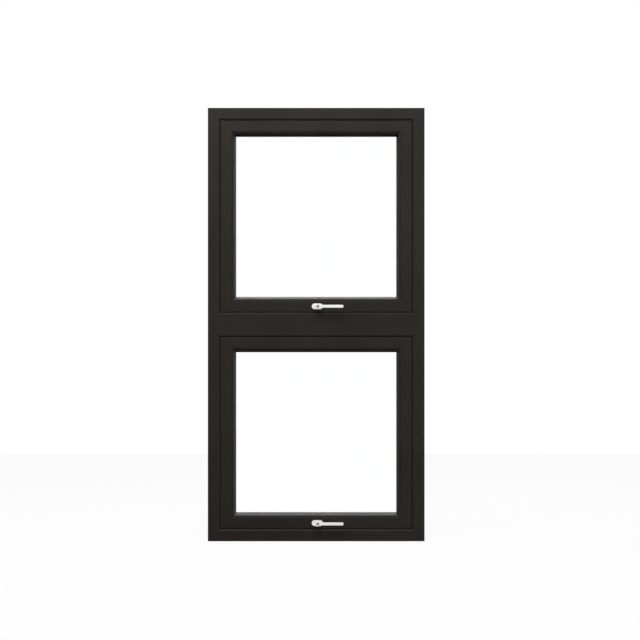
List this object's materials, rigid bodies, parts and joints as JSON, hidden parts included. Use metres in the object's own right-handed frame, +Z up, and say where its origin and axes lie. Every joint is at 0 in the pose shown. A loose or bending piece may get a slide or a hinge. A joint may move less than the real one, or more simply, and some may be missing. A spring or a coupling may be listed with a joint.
{
  "type": "top hung window",
  "caption": "Aluminium window frame with a transom and outward opening top hung sashes on friction stays, each with clear glass, a lever handle and a sliding lock rod.",
  "frame": {"origin": "middle of the sill's underside, half way through the frame's depth", "axes": "+Z up, +X to the right seen from the room, +Y outdoors"},
  "size_m": [0.6, 0.084, 1.2],
  "materials": {
    "bronze": "satin dark bronze powder coat",
    "clear_glass": "clear float glass",
    "black_rubber": "matt black gasket rubber",
    "handle_white": "satin white powder coat",
    "stainless": "brushed stainless steel",
    "zinc": "zinc plated, satin",
    "raw_aluminium": "mill finish",
    "shoe_plastic": "black acetal",
    "block_plastic": "black setting block"
  },
  "bodies": {
    "frame": {"frame_head": "bronze", "frame_sill": "bronze", "frame_jamb_left": "bronze", "frame_jamb_right": "bronze", "transom": "bronze", "frame_corner_cleats": "raw_aluminium", "frame_seals": "black_rubber", "stay_tracks": "stainless", "lock_keeps": "zinc", "frame_screws": "stainless"},
    "lower_sash": {"lower_top_rail": "bronze", "lower_bottom_rail": "bronze", "lower_stile_left": "bronze", "lower_stile_right": "bronze", "lower_bead_top": "bronze", "lower_bead_bottom": "bronze", "lower_bead_left": "bronze", "lower_bead_right": "bronze", "lower_corner_cleats": "raw_aluminium", "lower_glass": "clear_glass", "lower_outer_gasket": "black_rubber", "lower_inner_gasket": "black_rubber", "lower_setting_blocks": "block_plastic", "lower_sash_screws": "stainless", "lower_stay_bars": "stainless", "lower_gearbox": "zinc", "lower_handle_base": "zinc", "lower_handle_rose": "handle_white"},
    "lower_arm_left": {"lower_stay_arm_left": "stainless"},
    "lower_arm_right": {"lower_stay_arm_right": "stainless"},
    "lower_shoe_left": {"lower_stay_shoe_left": "shoe_plastic"},
    "lower_shoe_right": {"lower_stay_shoe_right": "shoe_plastic"},
    "lower_lock_rod": {"lower_lock_rod": "stainless"},
    "lower_handle": {"lower_spindle_pinion": "stainless", "lower_handle_lever": "handle_white"},
    "upper_sash": {"upper_top_rail": "bronze", "upper_bottom_rail": "bronze", "upper_stile_left": "bronze", "upper_stile_right": "bronze", "upper_bead_top": "bronze", "upper_bead_bottom": "bronze", "upper_bead_left": "bronze", "upper_bead_right": "bronze", "upper_corner_cleats": "raw_aluminium", "upper_glass": "clear_glass", "upper_outer_gasket": "black_rubber", "upper_inner_gasket": "black_rubber", "upper_setting_blocks": "block_plastic", "upper_sash_screws": "stainless", "upper_stay_bars": "stainless", "upper_gearbox": "zinc", "upper_handle_base": "zinc", "upper_handle_rose": "handle_white"},
    "upper_arm_left": {"upper_stay_arm_left": "stainless"},
    "upper_arm_right": {"upper_stay_arm_right": "stainless"},
    "upper_shoe_left": {"upper_stay_shoe_left": "shoe_plastic"},
    "upper_shoe_right": {"upper_stay_shoe_right": "shoe_plastic"},
    "upper_lock_rod": {"upper_lock_rod": "stainless"},
    "upper_handle": {"upper_spindle_pinion": "stainless", "upper_handle_lever": "handle_white"}
  },
  "joints": [
    {"name": "lower_sash_open", "type": "hinge", "parent": "frame", "child": "lower_arm_left", "pos_m": [-0.28345, 0.003, 0.396], "axis": [-1, 0, 0], "range_deg": [0, 35]},
    {"name": "lower_arm_right_pivot", "type": "hinge", "parent": "frame", "child": "lower_arm_right", "pos_m": [0.28345, 0.003, 0.396], "axis": [-1, 0, 0], "range_deg": [0, 35]},
    {"name": "lower_sash_pivot", "type": "hinge", "parent": "lower_arm_left", "child": "lower_sash", "pos_m": [-0.28345, 0.003, 0.486], "axis": [1, 0, 0], "range_deg": [0, 70]},
    {"name": "lower_shoe_left_pivot", "type": "hinge", "parent": "lower_sash", "child": "lower_shoe_left", "pos_m": [-0.28345, 0.003, 0.576], "axis": [-1, 0, 0], "range_deg": [0, 35]},
    {"name": "lower_shoe_right_pivot", "type": "hinge", "parent": "lower_sash", "child": "lower_shoe_right", "pos_m": [0.28345, 0.003, 0.576], "axis": [-1, 0, 0], "range_deg": [0, 35]},
    {"name": "lower_handle_turn", "type": "hinge", "parent": "lower_sash", "child": "lower_handle", "pos_m": [0.003, -0.051, 0.0505], "axis": [0, -1, 0], "range_deg": [0, 90]},
    {"name": "lower_lock_rod_slide", "type": "slide", "parent": "lower_sash", "child": "lower_lock_rod", "axis": [1, 0, 0], "range_m": [0, 0.01571]},
    {"name": "upper_sash_open", "type": "hinge", "parent": "frame", "child": "upper_arm_left", "pos_m": [-0.28345, 0.003, 0.996], "axis": [-1, 0, 0], "range_deg": [0, 35]},
    {"name": "upper_arm_right_pivot", "type": "hinge", "parent": "frame", "child": "upper_arm_right", "pos_m": [0.28345, 0.003, 0.996], "axis": [-1, 0, 0], "range_deg": [0, 35]},
    {"name": "upper_sash_pivot", "type": "hinge", "parent": "upper_arm_left", "child": "upper_sash", "pos_m": [-0.28345, 0.003, 1.086], "axis": [1, 0, 0], "range_deg": [0, 70]},
    {"name": "upper_shoe_left_pivot", "type": "hinge", "parent": "upper_sash", "child": "upper_shoe_left", "pos_m": [-0.28345, 0.003, 1.176], "axis": [-1, 0, 0], "range_deg": [0, 35]},
    {"name": "upper_shoe_right_pivot", "type": "hinge", "parent": "upper_sash", "child": "upper_shoe_right", "pos_m": [0.28345, 0.003, 1.176], "axis": [-1, 0, 0], "range_deg": [0, 35]},
    {"name": "upper_handle_turn", "type": "hinge", "parent": "upper_sash", "child": "upper_handle", "pos_m": [0.003, -0.051, 0.6505], "axis": [0, -1, 0], "range_deg": [0, 90]},
    {"name": "upper_lock_rod_slide", "type": "slide", "parent": "upper_sash", "child": "upper_lock_rod", "axis": [1, 0, 0], "range_m": [0, 0.01571]}
  ],
  "couplings": [
    {"joint": "lower_arm_right_pivot", "follows": "lower_sash_open", "ratio": 1},
    {"joint": "lower_sash_pivot", "follows": "lower_sash_open", "ratio": 2},
    {"joint": "lower_shoe_left_pivot", "follows": "lower_sash_open", "ratio": 1},
    {"joint": "lower_shoe_right_pivot", "follows": "lower_sash_open", "ratio": 1},
    {"joint": "lower_lock_rod_slide", "follows": "lower_handle_turn", "m_per_rad": 0.01},
    {"joint": "upper_arm_right_pivot", "follows": "upper_sash_open", "ratio": 1},
    {"joint": "upper_sash_pivot", "follows": "upper_sash_open", "ratio": 2},
    {"joint": "upper_shoe_left_pivot", "follows": "upper_sash_open", "ratio": 1},
    {"joint": "upper_shoe_right_pivot", "follows": "upper_sash_open", "ratio": 1},
    {"joint": "upper_lock_rod_slide", "follows": "upper_handle_turn", "m_per_rad": 0.01}
  ]
}
